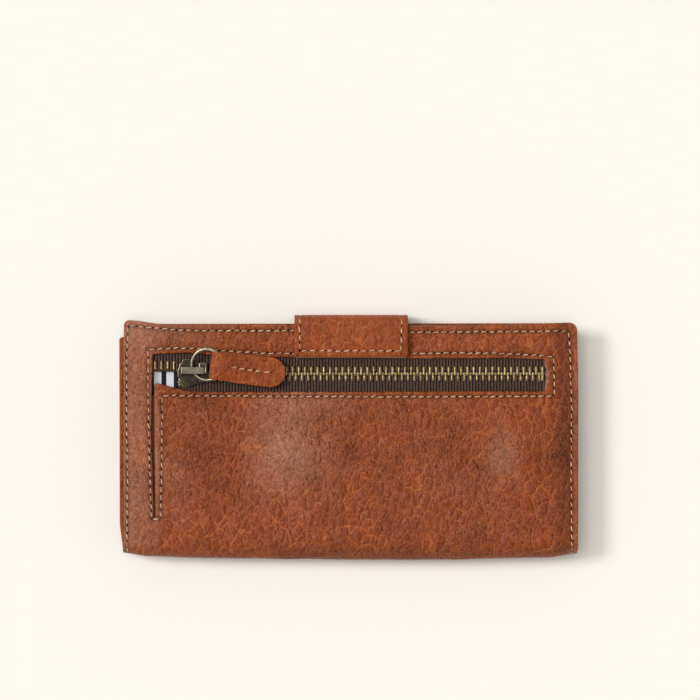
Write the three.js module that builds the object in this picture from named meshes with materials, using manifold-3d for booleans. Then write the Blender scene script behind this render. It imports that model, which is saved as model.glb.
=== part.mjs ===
// Long bifold wallet with an outside zip pocket, lying shut on its front cover.
// Millimetres, +Z up. Origin: middle of the bounding box, on the surface it lies on.
// +X runs along the zip, +Y points from the folded spine to the edge that opens.
import * as THREE from 'three';
import { mergeVertices } from 'three/addons/utils/BufferGeometryUtils.js';
import Module from 'manifold-3d';

const wasm = await Module();
wasm.setup();

// overall
const length = 190.5;
const spineY = -50;
const topEdgeY = 46.8;
const thickness = 20;
const outerLeather = 1.6;
const airGap = 0.3;
const cornerRadius = 4;
const spineRadius = 5;
const coverStartY = spineY + spineRadius + 0.3;
const backCoverX = [-93.8, 94.8];

// stack inside each half: [bottom, top] of every layer
const frontLayers = {
  board: [1.9, 2.9], lining: [3.2, 3.8], billPanel: [4.1, 4.9], firstSlot: 5.2,
};
const backLayers = {
  tape: [17.65, 18.1], pocketFront: [17.0, 17.35], pocketBack: [15.0, 15.5],
  board: [13.9, 14.7], lining: [13.0, 13.6], billPanel: [11.9, 12.7], firstSlot: 11.6,
};
const layerInset = 3.2;
const stackStartY = -44;

// card slots
const slotThickness = 0.7;
const slotPitchZ = 1.0;
const slotWidth = 87;
const slotGapX = 3;
const slotStepY = 12;
const frontSlotCount = 4;
const backSlotCount = 2;
const frontSlotY = -32;
const backSlotY = -14;
const slotEndY = 43.6;

// zip pocket
const windowX = [-81.8, 81.5];
const windowY = [18.1, 33.2];
const slitX = [-81.8, -80.4];
const slitEndY = -34.9;
const chainY = 25.7;
const chainX = [-79.6, 79.2];
const toothPitch = 2.6;
const toothWidth = 1.2;
const toothRoot = 2.8;
const toothTip = 0.65;
const railInner = 1.9;
const toothZ = [16.9, 18.9];
const tapeInner = 3.1;
const tapeEdgeY = { upper: 35.5, lower: 11 };
const stopLength = 1.6;

// slider, ring and leather puller
const sliderX = [-71.5, -59];
const sliderHalfWidth = 5.6;
const sliderTopZ = [19.2, 20.4];
const sliderBottomZ = [15.9, 16.6];
const guideRail = { inner: 3.15, outer: 3.85, depth: 0.8 };
const wedge = { x: [-70.6, -68.4], halfWidth: 0.4 };
const crownY = 26.8;
const crownZ = [20.7, 22.35, 23.2];
const ringRadius = 6.45;
const wireRadius = 0.67;
const ringEye = new THREE.Vector3(-65.0, crownY, 21.37);
const ringHeading = THREE.MathUtils.degToRad(24.2);
const ringLift = THREE.MathUtils.degToRad(14);
const pullerLength = 31.5;
const pullerHalfWidth = 6.25;
const pullerNeckHalfWidth = 4.8;
const pullerLeather = 1.0;
const pullerLoop = { start: 1.0, end: 6.6, halfHeight: 1.25 };
const pullerFold = new THREE.Vector3(-57.85, 29.25, 24.38);
const pullerYaw = THREE.MathUtils.degToRad(-7.1);
const pullerPitch = THREE.MathUtils.degToRad(5.4);
const pullerRoll = THREE.MathUtils.degToRad(5);

// closing strap with its press stud
const strapX = [-22.9, 24.3];
const strapLeather = 0.75;
const strapLining = 0.55;
const strapOuterY = 50;
const strapZ = [2.5, 21.1];
const tabEndY = 32.7;
const tabOuterZ = [22.4, 23.2];
const tabLiningZ = [21.5, 22.1];
const studPlace = [0.7, 40];
const studRadius = 1.9;
const studTopZ = 22.0;
const studFlange = { radius: 4.5, z: [20.3, 20.7] };
const studPostRadius = 1.2;
const studHoleRadius = 1.5;
const socket = { radius: 5.0, hole: 2.2, z: [21.0, 22.1] };
const backing = { radius: 3.5, z: [17.6, 18.1] };

const leather = new THREE.Color(0x8a4a2c);
const innerLeather = new THREE.Color(0x7a4a30);
const fabric = new THREE.Color(0x9a9186);
const board = new THREE.Color(0xa68f6c);
const brass = new THREE.Color(0xb08d4a);
const bronze = new THREE.Color(0x6e6250);
const tapeBrown = new THREE.Color(0x3c2c26);

const group = new THREE.Group();
group.name = 'long_wallet';

function add(name, geometry, color, metalness = 0, roughness = 0.6) {
  for (const extra of ['normal', 'uv']) geometry.deleteAttribute(extra);
  const merged = mergeVertices(geometry, 1e-4);
  merged.computeVertexNormals();
  const mesh = new THREE.Mesh(
    merged, new THREE.MeshStandardMaterial({ color, metalness, roughness }));
  mesh.name = name;
  group.add(mesh);
}

function solid(geometry) {
  for (const extra of ['normal', 'uv']) geometry.deleteAttribute(extra);
  const merged = mergeVertices(geometry, 1e-4);
  return new wasm.Manifold(new wasm.Mesh({
    numProp: 3,
    vertProperties: new Float32Array(merged.attributes.position.array),
    triVerts: new Uint32Array(merged.index.array),
  }));
}

function fromSolid(body) {
  const mesh = body.getMesh();
  const geometry = new THREE.BufferGeometry();
  geometry.setAttribute('position', new THREE.BufferAttribute(
    new Float32Array(mesh.vertProperties), 3));
  geometry.setIndex(new THREE.BufferAttribute(new Uint32Array(mesh.triVerts), 1));
  return geometry;
}

// outline of a rectangle with each corner rounded by its own radius:
// [low x low y, high x low y, high x high y, low x high y]
function roundedRect([x0, x1], [y0, y1], radii) {
  const [a, b, c, d] = Array.isArray(radii) ? radii : [radii, radii, radii, radii];
  const shape = new THREE.Shape();
  shape.moveTo(x0 + a, y0);
  shape.lineTo(x1 - b, y0);
  if (b) shape.absarc(x1 - b, y0 + b, b, -Math.PI / 2, 0);
  shape.lineTo(x1, y1 - c);
  if (c) shape.absarc(x1 - c, y1 - c, c, 0, Math.PI / 2);
  shape.lineTo(x0 + d, y1);
  if (d) shape.absarc(x0 + d, y1 - d, d, Math.PI / 2, Math.PI);
  shape.lineTo(x0, y0 + a);
  if (a) shape.absarc(x0 + a, y0 + a, a, Math.PI, Math.PI * 1.5);
  return shape;
}

function polygon(points) {
  return new THREE.Shape(points.map(([x, y]) => new THREE.Vector2(x, y)));
}

// a flat sheet: the outline lies in X-Y and the thickness runs from z0 to z1
function plate(shape, [z0, z1], curveSegments = 6) {
  const geometry = new THREE.ExtrudeGeometry(
    shape, { depth: z1 - z0, bevelEnabled: false, curveSegments });
  geometry.translate(0, 0, z0);
  return geometry;
}

// an outline drawn in Y-Z, carried along X
function alongX(shape, [x0, x1], curveSegments = 8) {
  const geometry = new THREE.ExtrudeGeometry(
    shape, { depth: x1 - x0, bevelEnabled: false, curveSegments });
  geometry.rotateY(Math.PI / 2);
  geometry.rotateX(Math.PI / 2);
  geometry.translate(x0, 0, 0);
  return geometry;
}

function circleHole([x, y], radius) {
  const hole = new THREE.Path();
  hole.absarc(x, y, radius, 0, Math.PI * 2, true);
  return hole;
}

function inset([low, high], by) {
  return [low + by, high - by];
}

// front cover: leather, board, lining and the note pocket's wall
function frontCover() {
  const x = [-length / 2, length / 2];
  const inner = inset(x, layerInset);
  const rounded = [0, 0, cornerRadius, cornerRadius];
  add('front_cover_leather',
    plate(roundedRect(x, [coverStartY, topEdgeY], rounded), [0, outerLeather]), leather);
  add('front_board',
    plate(roundedRect(inner, [stackStartY, 35.5], 1), frontLayers.board), board);
  add('front_lining',
    plate(roundedRect(inner, [stackStartY, 45.6], [1, 1, 3, 3]), frontLayers.lining), fabric);
  add('front_bill_panel',
    plate(roundedRect(inner, [-40, 45.2], [1, 1, 3, 3]), frontLayers.billPanel), innerLeather);
}

// one stepped column of card slots, each plate ending further from the spine
function slotColumn(prefix, middleX, count, firstY, zOf) {
  const x = [middleX - slotWidth / 2, middleX + slotWidth / 2];
  for (let i = 0; i < count; i++) {
    const outline = roundedRect(x, [firstY + i * slotStepY, slotEndY], [1.5, 1.5, 2, 2]);
    add(`${prefix}_${i + 1}`, plate(outline, zOf(i)), innerLeather);
  }
}

function cardSlots() {
  const offset = (slotWidth + slotGapX) / 2;
  const frontZ = (i) => {
    const z = frontLayers.firstSlot + i * slotPitchZ;
    return [z, z + slotThickness];
  };
  const backZ = (i) => {
    const z = backLayers.firstSlot - i * slotPitchZ;
    return [z - slotThickness, z];
  };
  slotColumn('front_slot_left', -offset, frontSlotCount, frontSlotY, frontZ);
  slotColumn('front_slot_right', offset, frontSlotCount, frontSlotY, frontZ);
  slotColumn('back_slot_left', -offset, backSlotCount, backSlotY, backZ);
  slotColumn('back_slot_right', offset, backSlotCount, backSlotY, backZ);
}

// the leather that wraps round the long folded edge, and the lining inside it
function spine() {
  const channel = (offset, wall, x, name, color) => {
    const near = spineY + offset;
    const r = spineRadius - offset;
    const cy = spineY + spineRadius;
    const low = spineRadius;
    const high = thickness - spineRadius;
    const shape = new THREE.Shape();
    shape.moveTo(cy, low - r);
    shape.absarc(cy, low, r, -Math.PI / 2, Math.PI, true);
    shape.lineTo(near, high);
    shape.absarc(cy, high, r, Math.PI, Math.PI / 2, true);
    shape.lineTo(cy, high + r - wall);
    shape.absarc(cy, high, r - wall, Math.PI / 2, Math.PI, false);
    shape.lineTo(near + wall, low);
    shape.absarc(cy, low, r - wall, Math.PI, Math.PI * 1.5, false);
    add(name, alongX(shape, x), color);
  };
  channel(0, outerLeather, [-94.6, 94.9], 'spine_leather', leather);
  channel(outerLeather + airGap, 0.6, [-91, 91], 'spine_lining', fabric);
}

// back cover: one leather sheet with an L-shaped cut for the zip and its side slit
function backCover() {
  const outline = roundedRect(
    backCoverX, [coverStartY, topEdgeY], [0, 0, cornerRadius, cornerRadius]);
  const cut = new THREE.Path();
  cut.moveTo(slitX[0], slitEndY);
  cut.lineTo(slitX[0], windowY[1]);
  cut.lineTo(windowX[1] - 3, windowY[1]);
  cut.absarc(windowX[1] - 3, windowY[1] - 3, 3, Math.PI / 2, 0, true);
  cut.lineTo(windowX[1], windowY[0] + 3);
  cut.absarc(windowX[1] - 3, windowY[0] + 3, 3, 0, -Math.PI / 2, true);
  cut.lineTo(slitX[1], windowY[0]);
  cut.lineTo(slitX[1], slitEndY + 2);
  cut.closePath();
  outline.holes.push(cut, circleHole(studPlace, studHoleRadius));
  add('back_cover_leather',
    plate(outline, [thickness - outerLeather, thickness]), leather);
  add('slit_edge_binding',
    plate(roundedRect([slitX[1] + airGap, -77], [-33.5, 10.4], 0.5), backLayers.tape), leather);
  const x = inset(backCoverX, layerInset);
  const rounded = [1, 1, 3, 3];
  add('pocket_lining_front',
    plate(roundedRect([-79, x[1]], [-42, 16], 1), backLayers.pocketFront), fabric);
  add('pocket_lining_back',
    plate(roundedRect(x, [-43, 45], rounded), backLayers.pocketBack), fabric);
  add('back_board',
    plate(roundedRect(x, [stackStartY, 45], rounded), backLayers.board), board);
  add('back_lining',
    plate(roundedRect(x, [stackStartY, 45.6], rounded), backLayers.lining), fabric);
  add('back_bill_panel',
    plate(roundedRect(x, [-40, 45.2], rounded), backLayers.billPanel), innerLeather);
}

// one row of metal teeth on its cord; side is +1 above the closing line, -1 below
function teethRow(side, phase) {
  const y = (offset) => chainY + side * offset;
  const points = [[chainX[0], y(toothRoot)], [chainX[0], y(railInner)]];
  for (let x = chainX[0] + 0.6 + phase; x + toothWidth < chainX[1]; x += toothPitch) {
    points.push([x, y(railInner)], [x, y(toothTip)],
      [x + toothWidth, y(toothTip)], [x + toothWidth, y(railInner)]);
  }
  points.push([chainX[1], y(railInner)], [chainX[1], y(toothRoot)]);
  return plate(polygon(side > 0 ? points.reverse() : points), toothZ);
}

function zip() {
  add('zip_tape_upper', plate(roundedRect(
    [-88, 88], [chainY + tapeInner, tapeEdgeY.upper], 0.5), backLayers.tape), tapeBrown);
  add('zip_tape_lower', plate(roundedRect(
    [-81, 88], [tapeEdgeY.lower, chainY - tapeInner], 0.5), backLayers.tape), tapeBrown);
  add('zip_teeth_upper', teethRow(1, 0), brass, 1, 0.35);
  add('zip_teeth_lower', teethRow(-1, toothPitch / 2), brass, 1, 0.35);
  const stop = (name, x, low, high) => add(
    name, plate(roundedRect([x, x + stopLength], [low, high], 0.3), toothZ), brass, 1, 0.35);
  stop('zip_end_stop_upper', chainX[0] - airGap - stopLength, chainY + 0.6, chainY + 2.8);
  stop('zip_end_stop_lower', chainX[0] - airGap - stopLength, chainY - 2.8, chainY - 0.6);
  stop('zip_bottom_stop', chainX[1] + airGap, chainY - 2.6, chainY + 2.6);
}

// slider: two plates held by a slim wedge, with guide rails that straddle the tapes
function slider() {
  const w = sliderHalfWidth;
  const [x0, x1] = sliderX;
  const half = [[x0, 1.2], [x0 + 2.2, w], [x0 + 5, w], [x1 - 3.6, 4.3], [x1, 3.95]];
  const outline = polygon([
    ...half.map(([x, y]) => [x, chainY - y]),
    ...half.slice().reverse().map(([x, y]) => [x, chainY + y]),
  ]);
  const box = (xs, ys, zs) => solid(plate(roundedRect(xs, ys, 0), zs));
  const lap = 0.1;
  const railX = [x1 - 6.4, x1 - 0.3];
  let body = solid(plate(outline, sliderTopZ)).add(solid(plate(outline, sliderBottomZ)));
  body = body.add(box(wedge.x, [chainY - wedge.halfWidth, chainY + wedge.halfWidth],
    [sliderBottomZ[1] - lap, sliderTopZ[0] + lap]));
  for (const side of [-1, 1]) {
    const ends = [chainY + side * guideRail.inner, chainY + side * guideRail.outer];
    const ys = [Math.min(...ends), Math.max(...ends)];
    body = body.add(box(railX, ys, [sliderTopZ[0] - guideRail.depth, sliderTopZ[0] + lap]));
    body = body.add(box(railX, ys, [sliderBottomZ[1] - lap, sliderBottomZ[1] + guideRail.depth]));
  }
  add('slider_body', fromSolid(body), bronze, 1, 0.45);

  const [foot, slotTop, top] = crownZ;
  const bar = box([-70.2, -60], [25.5, 28.3], [slotTop, top]);
  const leg = box([-70.2, -68.7], [25.5, 28.3], [foot, slotTop + lap]);
  const block = box([-62.6, x1 - 0.1], [25.7, 30.1], [foot, top]);
  add('slider_crown', fromSolid(bar.add(leg).add(block)), bronze, 1, 0.45);
}

// round wire ring through the crown; it leans on the puller's fold
function pullRing() {
  const out = new THREE.Vector3(Math.cos(ringHeading), Math.sin(ringHeading), 0);
  const axle = new THREE.Vector3(-out.y, out.x, 0);
  const radial = out.clone().multiplyScalar(Math.cos(ringLift));
  radial.z = Math.sin(ringLift);
  const normal = radial.clone().cross(axle);
  const middle = ringEye.clone().addScaledVector(radial, ringRadius);
  const geometry = new THREE.TorusGeometry(ringRadius, wireRadius, 12, 48);
  geometry.applyMatrix4(new THREE.Matrix4().makeBasis(radial, axle, normal));
  geometry.translate(middle.x, middle.y, middle.z);
  add('pull_ring', geometry, bronze, 1, 0.4);
}

// leather puller: a strip folded round the ring and sewn to itself
function puller() {
  const { start, end, halfHeight } = pullerLoop;
  const outer = halfHeight + pullerLeather;
  const flat = pullerLeather;
  const side = new THREE.Shape();
  side.moveTo(start + 1.2, -outer);
  side.lineTo(end - 1, -outer);
  side.lineTo(end + 3.5, -flat);
  side.lineTo(pullerLength, -flat);
  side.lineTo(pullerLength, flat);
  side.lineTo(end + 3.5, flat);
  side.lineTo(end - 1, outer);
  side.lineTo(start + 1.2, outer);
  side.absellipse(start + 1.2, 0, start + 1.2, outer, Math.PI / 2, Math.PI * 1.5, false);
  const tunnel = new THREE.Path();
  tunnel.absellipse(start + 1.2, 0, 1.2, halfHeight, Math.PI * 1.5, Math.PI / 2, true);
  tunnel.lineTo(end - 1, halfHeight);
  tunnel.lineTo(end, 0.15);
  tunnel.lineTo(end, -0.15);
  tunnel.lineTo(end - 1, -halfHeight);
  tunnel.closePath();
  side.holes.push(tunnel);
  const w = pullerHalfWidth;
  const profile = new THREE.ExtrudeGeometry(
    side, { depth: 2 * w + 2, bevelEnabled: false, curveSegments: 8 });
  profile.rotateX(Math.PI / 2);
  profile.translate(0, w + 1, 0);

  const neck = pullerNeckHalfWidth;
  const tip = pullerLength - w;
  const plan = new THREE.Shape();
  plan.moveTo(-1, -neck);
  plan.lineTo(end, -neck);
  plan.bezierCurveTo(end + 2, -neck, end + 3, -w, end + 7, -w);
  plan.lineTo(tip, -w);
  plan.absarc(tip, 0, w, -Math.PI / 2, Math.PI / 2, false);
  plan.lineTo(end + 7, w);
  plan.bezierCurveTo(end + 3, w, end + 2, neck, end, neck);
  plan.lineTo(-1, neck);
  const block = plate(plan, [-outer - 1, outer + 1], 12);

  const geometry = fromSolid(solid(profile).intersect(solid(block)));
  geometry.applyMatrix4(new THREE.Matrix4().makeRotationFromEuler(
    new THREE.Euler(pullerRoll, pullerPitch, pullerYaw, 'ZYX')));
  geometry.translate(pullerFold.x, pullerFold.y, pullerFold.z);
  add('puller_leather', geometry, leather);
}

// strap: sewn in at the front cover's edge, up round the edge and over the back
function strap() {
  const inner = inset(strapX, 0.5);
  const liningY = strapOuterY - strapLeather - airGap;
  add('strap_anchor', plate(roundedRect(strapX, [36, 47.9], 0.8), frontLayers.board), leather);
  add('strap_outer_leather', plate(roundedRect(
    strapX, [strapOuterY - strapLeather, strapOuterY], 0), strapZ), leather);
  add('strap_lining', plate(roundedRect(
    inner, [liningY - strapLining, liningY], 0), strapZ), innerLeather);
  add('tab_outer_leather', plate(roundedRect(
    strapX, [tabEndY, strapOuterY], [2, 2, 0, 0]), tabOuterZ), leather);
  const lining = roundedRect(inner, [tabEndY + 0.5, strapOuterY - 0.4], [2, 2, 0, 0]);
  lining.holes.push(circleHole(studPlace, socket.radius + airGap));
  add('tab_lining', plate(lining, tabLiningZ), innerLeather);
}

function lathe(points, name, segments = 28) {
  const geometry = new THREE.LatheGeometry(
    points.map(([r, z]) => new THREE.Vector2(r, z)), segments);
  geometry.rotateX(Math.PI / 2);
  geometry.translate(studPlace[0], studPlace[1], 0);
  add(name, geometry, brass, 1, 0.4);
}

// press stud: ball on the back cover, socket in the tab, washer under the leather
function pressStud() {
  const { radius, z: [z0, z1] } = studFlange;
  const foot = thickness - outerLeather;
  lathe([[0, foot], [studPostRadius, foot], [studPostRadius, z0], [radius, z0], [radius, z1],
    [studRadius - 0.2, z1], [studRadius, studTopZ - 0.6], [studRadius - 0.5, studTopZ],
    [0, studTopZ]], 'snap_stud');
  const [s0, s1] = socket.z;
  lathe([[socket.hole, s0], [socket.radius, s0], [socket.radius, s1], [socket.hole, s1],
    [socket.hole, s0]], 'snap_socket');
  const [b0, b1] = backing.z;
  lathe([[0, b0], [backing.radius, b0], [backing.radius, b1], [0, b1]], 'snap_backing');
}

frontCover();
cardSlots();
spine();
backCover();
zip();
slider();
pullRing();
puller();
strap();
pressStud();

export default group;
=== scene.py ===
import math

import bmesh
import bpy
import numpy as np
from mathutils import Matrix, Vector, noise
from mathutils.geometry import delaunay_2d_cdt
from mathutils.kdtree import KDTree


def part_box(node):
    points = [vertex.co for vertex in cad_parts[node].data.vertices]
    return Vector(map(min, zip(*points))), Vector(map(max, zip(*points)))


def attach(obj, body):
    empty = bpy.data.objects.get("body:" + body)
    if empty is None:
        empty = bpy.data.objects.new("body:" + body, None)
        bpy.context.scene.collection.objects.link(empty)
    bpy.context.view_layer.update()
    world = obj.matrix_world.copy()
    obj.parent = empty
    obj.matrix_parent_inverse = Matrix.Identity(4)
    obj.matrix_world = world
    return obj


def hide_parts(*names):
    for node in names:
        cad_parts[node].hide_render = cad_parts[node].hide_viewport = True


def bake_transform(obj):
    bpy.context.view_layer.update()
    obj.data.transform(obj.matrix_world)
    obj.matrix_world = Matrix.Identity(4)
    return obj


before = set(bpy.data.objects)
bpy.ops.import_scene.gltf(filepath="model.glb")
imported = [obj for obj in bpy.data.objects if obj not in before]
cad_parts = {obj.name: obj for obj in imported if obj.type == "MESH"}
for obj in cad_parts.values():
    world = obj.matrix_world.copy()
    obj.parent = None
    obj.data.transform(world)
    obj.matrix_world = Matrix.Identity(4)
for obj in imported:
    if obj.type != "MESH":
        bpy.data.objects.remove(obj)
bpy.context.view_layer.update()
mm = 0.001
print("frame loaded")


def linear(hexText):
    parts = [int(hexText[i:i + 2], 16) / 255 for i in (0, 2, 4)]
    return [c / 12.92 if c < 0.04045 else ((c + 0.055) / 1.055) ** 2.4 for c in parts] + [1.0]


def smooth(low, high, value):
    t = np.clip((value - low) / (high - low), 0, 1)
    return t * t * (3 - 2 * t)


def noiseAt(x, y, size, seed=0.0):
    x, y = np.broadcast_arrays(np.asarray(x, float), np.asarray(y, float))
    found = [noise.noise(Vector((a / size, b / size, seed))) for a, b in zip(x.ravel(), y.ravel())]
    return np.array(found).reshape(x.shape)


def plug(tree, node, inputs):
    # an input is a plain value, another node (its first output) or one of a node's outputs
    for key, value in inputs.items() if isinstance(inputs, dict) else enumerate(inputs):
        if isinstance(value, bpy.types.Node):
            value = value.outputs[0]
        if isinstance(value, bpy.types.NodeSocket):
            tree.links.new(value, node.inputs[key])
        else:
            node.inputs[key].default_value = value


def addNode(tree, kind, inputs=(), stops=(), **settings):
    node = tree.nodes.new(kind)
    for key, value in settings.items():
        setattr(node, key, value)
    plug(tree, node, inputs)
    if stops:
        elements = node.color_ramp.elements
        while len(elements) < len(stops):
            elements.new(0.5)
        for element, (place, colour) in zip(elements, stops):
            element.position = place
            element.color = linear(colour) if isinstance(colour, str) else [colour] * 3 + [1]
    return node


def newMaterial(name):
    made = bpy.data.materials.new(name)
    made.use_nodes = True
    tree = made.node_tree
    where = addNode(tree, "ShaderNodeTexCoord").outputs["Object"]
    return made, tree, tree.nodes["Principled BSDF"], where


waveTurn = 0.314  # a wave texture repeats every 0.314 of its unit


def perMetre(size):
    # a pattern's scale, from the size of one repeat in millimetres
    return 1 / (size * mm)


# Pull-up cowhide: drum-dyed and waxed. Its paler patches are painted sheen, and the darker hollows of
# its pebble are partly its dye and partly painted shade. Soft satin gloss. Sizes are in millimetres.
cowhideValues = {
    "dark": "602710", "mid": "803915", "warm": "904017", "pale": "9b4c25",
    "seam": "3a170a", "crack": "b9652f", "paintedSheen": "b88a75",
    "pebble": 1.1, "crease": 3.8, "patch": 16.0, "spread": 16.667, "fold": 4.762, "pull": 2.381,
    "wander": 3.03, "grain": 0.909,
    "roughness": 0.43, "relief": 0.9, "depth": 0.5, "folds": 1.2, "cells": 0.85,
}
# Calf lining leather: same dye, finer grain, less wax
calfValues = {
    **cowhideValues, "dark": "4c2817", "mid": "6b3b22", "warm": "7a4629", "pale": "86553a",
    "seam": "35150a", "crack": "8a5a3c", "paintedSheen": "9a7c6c",
    "pebble": 0.6, "crease": 2.5, "patch": 22.0,
    "roughness": 0.6, "relief": 0.2, "folds": 0.15, "cells": 0.15,
}


def leatherMaterial(name, v):
    made, tree, shader, where = newMaterial(name)
    wander = addNode(tree, "ShaderNodeTexNoise", {
        "Vector": where, "Scale": perMetre(v["wander"]), "Detail": 3})
    bent = addNode(tree, "ShaderNodeMixRGB", {
        "Fac": 0.0011, "Color1": where, "Color2": wander.outputs["Color"]}, blend_type="LINEAR_LIGHT")
    # pebbles about a millimetre across, with rounded tops
    pebble = addNode(tree, "ShaderNodeTexVoronoi", {
        "Vector": bent, "Scale": perMetre(v["pebble"]), "Smoothness": 0.25}, feature="SMOOTH_F1")
    dome = addNode(tree, "ShaderNodeMapRange", {
        "Value": pebble, "From Min": 0.15, "From Max": 0.75, "To Min": 1.0, "To Max": 0.0})
    # creases and folds lie along a slant, several millimetres long
    slant = addNode(tree, "ShaderNodeMapping", {
        "Vector": bent, "Rotation": (0, 0, math.radians(38)), "Scale": (1.0, 0.68, 1.0)})
    crease, small = [addNode(tree, "ShaderNodeTexVoronoi", {
        "Vector": slant, "Scale": perMetre(v["crease"]) * finer}, feature="DISTANCE_TO_EDGE")
        for finer in (1, 2.1)]
    patch = addNode(tree, "ShaderNodeTexNoise", {
        "Vector": where, "Scale": perMetre(v["patch"]), "Detail": 6, "Roughness": 0.65})
    folds = addNode(tree, "ShaderNodeTexNoise", {
        "Vector": slant, "Scale": perMetre(v["fold"]), "Detail": 3, "Roughness": 0.5,
        "Distortion": 0.7})
    fine = addNode(tree, "ShaderNodeTexNoise", {
        "Vector": where, "Scale": perMetre(v["grain"]), "Detail": 4, "Roughness": 0.7})
    base = addNode(tree, "ShaderNodeValToRGB", {"Fac": patch}, stops=[
        (0.22, v["dark"]), (0.42, v["mid"]), (0.6, v["warm"]), (0.82, v["pale"])])
    # mottling, paler on top of each pebble and fold and darker in the hollows: partly the waxed hide's
    # own colour, partly painted highlight on the tops and painted shade in the hollows
    lift = addNode(tree, "ShaderNodeMath", [folds, 0.66], operation="MULTIPLY")
    lift = addNode(tree, "ShaderNodeMath", [dome, 0.36, lift], operation="MULTIPLY_ADD")
    mottle = addNode(tree, "ShaderNodeValToRGB", {"Fac": lift},
                     stops=[(0.27, 0.66), (0.48, 0.98), (0.7, 1.3)])
    mottled = addNode(tree, "ShaderNodeMixRGB", {"Fac": 0.75, "Color1": base, "Color2": mottle},
                      blend_type="MULTIPLY")
    # cracked wax shows as warmer lines, wide cells and fine ones, in patches only
    line, fineLine = [addNode(tree, "ShaderNodeMapRange", {
        "Value": cells, "From Min": 0.015, "From Max": width, "To Min": 1.0, "To Max": 0.0})
        for cells, width in ((crease, 0.085), (small, 0.13))]
    spread = addNode(tree, "ShaderNodeTexNoise", {
        "Vector": where, "Scale": perMetre(v["spread"]), "Detail": 3})
    mask, fineMask = [addNode(tree, "ShaderNodeMapRange", {
        "Value": spread, "From Min": low, "From Max": high})
        for low, high in ((0.34, 0.56), (0.62, 0.42))]
    wide = addNode(tree, "ShaderNodeMath", [line, mask], operation="MULTIPLY")
    narrow = addNode(tree, "ShaderNodeMath", [fineMask, 0.55], operation="MULTIPLY")
    narrow = addNode(tree, "ShaderNodeMath", [fineLine, narrow], operation="MULTIPLY")
    lined = addNode(tree, "ShaderNodeMath", [wide, narrow], operation="MAXIMUM")
    cracked = addNode(tree, "ShaderNodeMath", [lined, 0.62], operation="MULTIPLY")
    coloured = addNode(tree, "ShaderNodeMixRGB", {
        "Fac": cracked, "Color1": mottled, "Color2": linear(v["crack"])})
    # painted sheen: a greyish mauve laid on the tops of the pebbles where the attribute below is above
    # nought, painted shade in the dark seam colour where it is below nought
    paintedSheenShade = addNode(tree, "ShaderNodeAttribute", attribute_name="paintedSheenShade").outputs["Fac"]
    sheenAmount = addNode(tree, "ShaderNodeMath", [paintedSheenShade, 0.0], operation="MAXIMUM")
    tops = addNode(tree, "ShaderNodeMath", [lift, 0.9, -0.02], operation="MULTIPLY_ADD")
    paintedSheen = addNode(tree, "ShaderNodeMath", [sheenAmount, tops], operation="MULTIPLY")
    coloured = addNode(tree, "ShaderNodeMixRGB", {
        "Fac": paintedSheen, "Color1": coloured, "Color2": linear(v["paintedSheen"])})
    paintedShade = addNode(tree, "ShaderNodeMath", [paintedSheenShade, -1.0], operation="MULTIPLY")
    paintedShade = addNode(tree, "ShaderNodeMath", [paintedShade, 0.0], operation="MAXIMUM")
    coloured = addNode(tree, "ShaderNodeMixRGB", {
        "Fac": paintedShade, "Color1": coloured, "Color2": linear(v["seam"])})
    # painted shade in the grooves beside the seams
    beside = addNode(tree, "ShaderNodeAttribute", attribute_name="seam").outputs["Fac"]
    grooveShade = addNode(tree, "ShaderNodeMath", [beside, 0.62], operation="MULTIPLY")
    coloured = addNode(tree, "ShaderNodeMixRGB", {
        "Fac": grooveShade, "Color1": coloured, "Color2": linear(v["seam"])})
    # a second set of pulls crosses the folds where the hide was worked hardest
    turned = addNode(tree, "ShaderNodeMapping", {
        "Vector": bent, "Rotation": (0, 0, math.radians(-52)), "Scale": (1.0, 0.32, 1.0)})
    pulls = addNode(tree, "ShaderNodeTexNoise", {
        "Vector": turned, "Scale": perMetre(v["pull"]), "Detail": 2, "Distortion": 0.5})
    centred = addNode(tree, "ShaderNodeMath", [pulls, 0.5], operation="SUBTRACT")
    worked = addNode(tree, "ShaderNodeMath", [mask, v["folds"] * 1.5], operation="MULTIPLY")
    height = addNode(tree, "ShaderNodeMath", [centred, worked], operation="MULTIPLY")
    # between the crack lines the hide swells into soft cells
    swollen = [addNode(tree, "ShaderNodeMapRange", {
        "Value": cells, "From Min": 0.0, "From Max": 0.42}, interpolation_type="SMOOTHSTEP")
        for cells in (crease, small)]
    for part, amount in ((dome, 0.22), (folds, v["folds"] * 1.5), (swollen[0], v["cells"]),
                         (swollen[1], v["cells"] * 0.6), (lined, -0.45), (fine, 0.06)):
        height = addNode(tree, "ShaderNodeMath", [part, amount, height], operation="MULTIPLY_ADD")
    bump = addNode(tree, "ShaderNodeBump", {
        "Height": height, "Strength": v["relief"], "Distance": v["depth"] * mm})
    gloss = addNode(tree, "ShaderNodeMapRange", {
        "Value": fine, "From Min": 0.3, "From Max": 0.7,
        "To Min": v["roughness"] - 0.08, "To Max": v["roughness"] + 0.16})
    plug(tree, shader, {"Base Color": coloured, "Normal": bump, "Roughness": gloss,
                        "IOR": 1.5, "Specular IOR Level": 0.42})
    return made


# Waxed polyester sewing thread: twisted, satin
def threadMaterial():
    made, tree, shader, where = newMaterial("waxed beige sewing thread")
    fuzz = addNode(tree, "ShaderNodeTexNoise", {"Vector": where, "Scale": perMetre(1.429), "Detail": 3})
    colour = addNode(tree, "ShaderNodeValToRGB", {"Fac": fuzz},
                     stops=[(0.3, "a07552"), (0.5, "cba27d"), (0.7, "ead4b2")])
    bump = addNode(tree, "ShaderNodeBump", {"Height": fuzz, "Strength": 0.4, "Distance": 0.1 * mm})
    plug(tree, shader, {"Base Color": colour, "Normal": bump, "Roughness": 0.6})
    return made


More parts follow.
